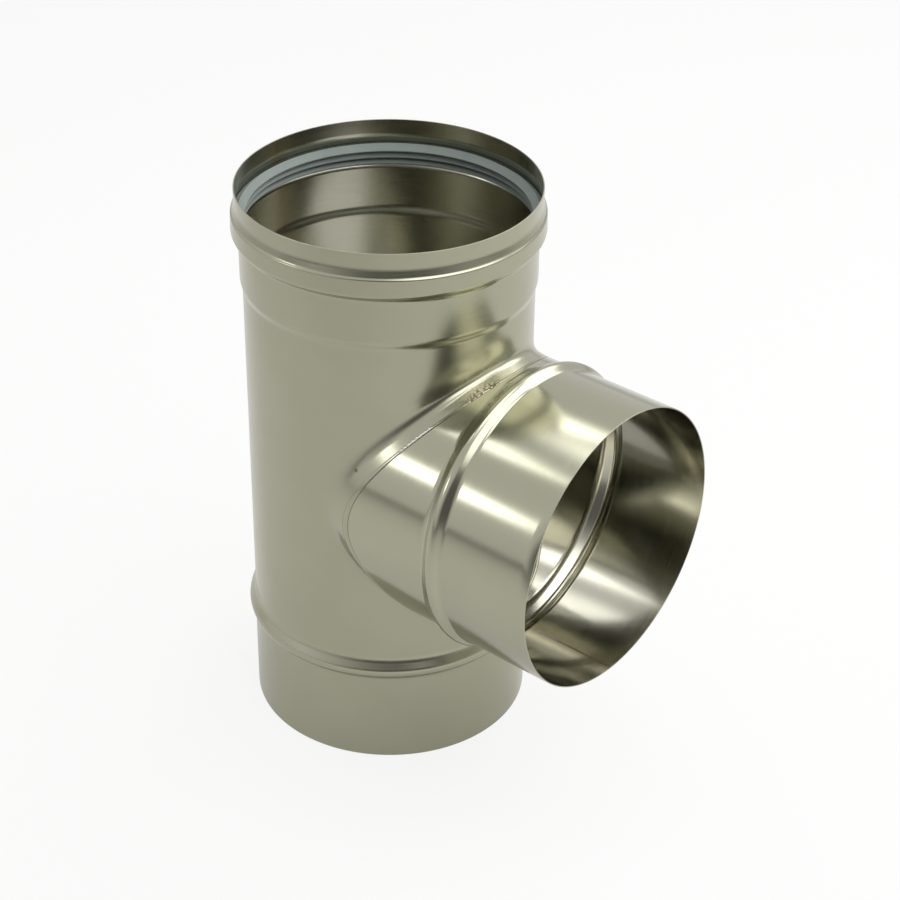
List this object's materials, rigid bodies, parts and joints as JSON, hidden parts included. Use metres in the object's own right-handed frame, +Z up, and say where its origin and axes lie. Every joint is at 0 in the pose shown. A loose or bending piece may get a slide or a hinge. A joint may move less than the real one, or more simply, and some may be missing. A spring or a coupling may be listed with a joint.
{
  "type": "flue pipe tee",
  "caption": "Single-wall round flue tee: a straight run with a lip-sealed socket on top, a beaded spigot below and a beaded branch spigot at a right angle.",
  "frame": {"origin": "centre of the lower spigot's end, on the run's axis, in the plane that the tee stands on", "axes": "+Z up along the run's axis from the spigot to the socket, +X out along the branch's axis"},
  "size_m": [0.232, 0.1598, 0.3075],
  "materials": {
    "run_steel": "satin cold-rolled stainless sheet",
    "branch_steel": "bright annealed stainless sheet",
    "weld": "as-welded seam, rippled, lightly heat tinted",
    "seal": "moulded grey silicone"
  },
  "bodies": {
    "root": {"main_tube": "run_steel", "branch_tube": "branch_steel", "saddle_weld": "weld", "lip_seal": "seal"}
  },
  "joints": []
}
